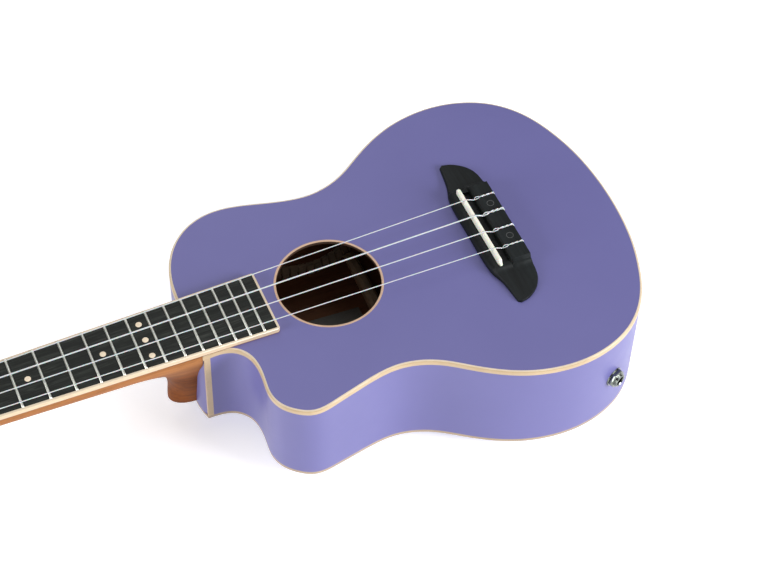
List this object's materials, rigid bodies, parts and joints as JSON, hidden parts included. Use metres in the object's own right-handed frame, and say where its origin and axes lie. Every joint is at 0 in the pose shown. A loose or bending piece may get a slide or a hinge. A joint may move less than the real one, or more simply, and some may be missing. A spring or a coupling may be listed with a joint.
{
  "type": "ukulele",
  "caption": "Left-handed tenor cutaway ukulele with an arched back, bound purple body, tie bridge, open-gear tuners and a side output jack.",
  "frame": {"origin": "middle of the base of the bounding box", "axes": "+X from headstock to tail, +Y towards the low-string side, +Z out of the soundboard"},
  "size_m": [0.6603, 0.2274, 0.095],
  "materials": {
    "purple": "translucent purple satin lacquer over pale veneer",
    "maple": "pale maple binding under satin lacquer",
    "mahogany": "reddish brown, satin",
    "inner wood": "dark unfinished lining wood",
    "spruce": "unfinished",
    "black wood": "near black, fine grain, oiled",
    "bone": "polished ivory white",
    "fret metal": "polished nickel silver",
    "chrome": "polished plating",
    "nylon": "clear nylon, slightly milky",
    "pickup braid": "woven metal sleeve"
  },
  "bodies": {
    "body": {"soundboard": "purple", "back_plate": "purple", "side_bass": "purple", "side_treble": "purple", "binding_top": "maple", "binding_back": "maple", "binding_cutaway": "maple", "soundhole_ring": "maple", "fretboard_binding": "maple", "neck": "mahogany", "neck_block": "mahogany", "tail_block": "mahogany", "lining_top": "inner wood", "lining_back": "inner wood", "back_brace_upper": "spruce", "back_brace_lower": "spruce", "top_brace_upper": "spruce", "top_brace_lower": "spruce", "bridge_plate": "spruce", "bridge": "black wood", "fretboard": "black wood", "saddle": "bone", "nut": "bone", "pickup_strip": "pickup braid", "fret_01": "fret metal", "fret_02": "fret metal", "fret_03": "fret metal", "fret_04": "fret metal", "fret_05": "fret metal", "fret_06": "fret metal", "fret_07": "fret metal", "fret_08": "fret metal", "fret_09": "fret metal", "fret_10": "fret metal", "fret_11": "fret metal", "fret_12": "fret metal", "fret_13": "fret metal", "fret_14": "fret metal", "fret_15": "fret metal", "fret_16": "fret metal", "fret_17": "fret metal", "fret_18": "fret metal", "string_a": "nylon", "string_e": "nylon", "string_c": "nylon", "string_g": "nylon", "jack_barrel": "chrome", "jack_nut": "chrome", "tuner_plate_a": "chrome", "tuner_plate_e": "chrome", "tuner_plate_c": "chrome", "tuner_plate_g": "chrome"},
    "button_a": {"tuner_button_a": "chrome"},
    "post_a": {"tuner_post_a": "chrome"},
    "button_e": {"tuner_button_e": "chrome"},
    "post_e": {"tuner_post_e": "chrome"},
    "button_c": {"tuner_button_c": "chrome"},
    "post_c": {"tuner_post_c": "chrome"},
    "button_g": {"tuner_button_g": "chrome"},
    "post_g": {"tuner_post_g": "chrome"}
  },
  "joints": [
    {"name": "turn_button_a", "type": "hinge", "parent": "body", "child": "button_a", "pos_m": [-0.22249, -0.01686, 0.06266], "axis": [0, -1, 0], "continuous": true},
    {"name": "turn_post_a", "type": "hinge", "parent": "body", "child": "post_a", "pos_m": [-0.23331, -0.01686, 0.07723], "axis": [-0.2079, 0, 0.9781], "continuous": true},
    {"name": "turn_button_e", "type": "hinge", "parent": "body", "child": "button_e", "pos_m": [-0.2714, -0.01886, 0.05227], "axis": [0, -1, 0], "continuous": true},
    {"name": "turn_post_e", "type": "hinge", "parent": "body", "child": "post_e", "pos_m": [-0.28221, -0.01886, 0.06684], "axis": [-0.2079, 0, 0.9781], "continuous": true},
    {"name": "turn_button_c", "type": "hinge", "parent": "body", "child": "button_c", "pos_m": [-0.2714, 0.02114, 0.05227], "axis": [0, 1, 0], "continuous": true},
    {"name": "turn_post_c", "type": "hinge", "parent": "body", "child": "post_c", "pos_m": [-0.28221, 0.02114, 0.06684], "axis": [-0.2079, 0, 0.9781], "continuous": true},
    {"name": "turn_button_g", "type": "hinge", "parent": "body", "child": "button_g", "pos_m": [-0.22249, 0.01914, 0.06266], "axis": [0, 1, 0], "continuous": true},
    {"name": "turn_post_g", "type": "hinge", "parent": "body", "child": "post_g", "pos_m": [-0.23331, 0.01914, 0.07723], "axis": [-0.2079, 0, 0.9781], "continuous": true}
  ],
  "couplings": [
    {"joint": "turn_post_a", "follows": "turn_button_a", "ratio": 0.071429},
    {"joint": "turn_post_e", "follows": "turn_button_e", "ratio": 0.071429},
    {"joint": "turn_post_c", "follows": "turn_button_c", "ratio": -0.071429},
    {"joint": "turn_post_g", "follows": "turn_button_g", "ratio": -0.071429}
  ]
}
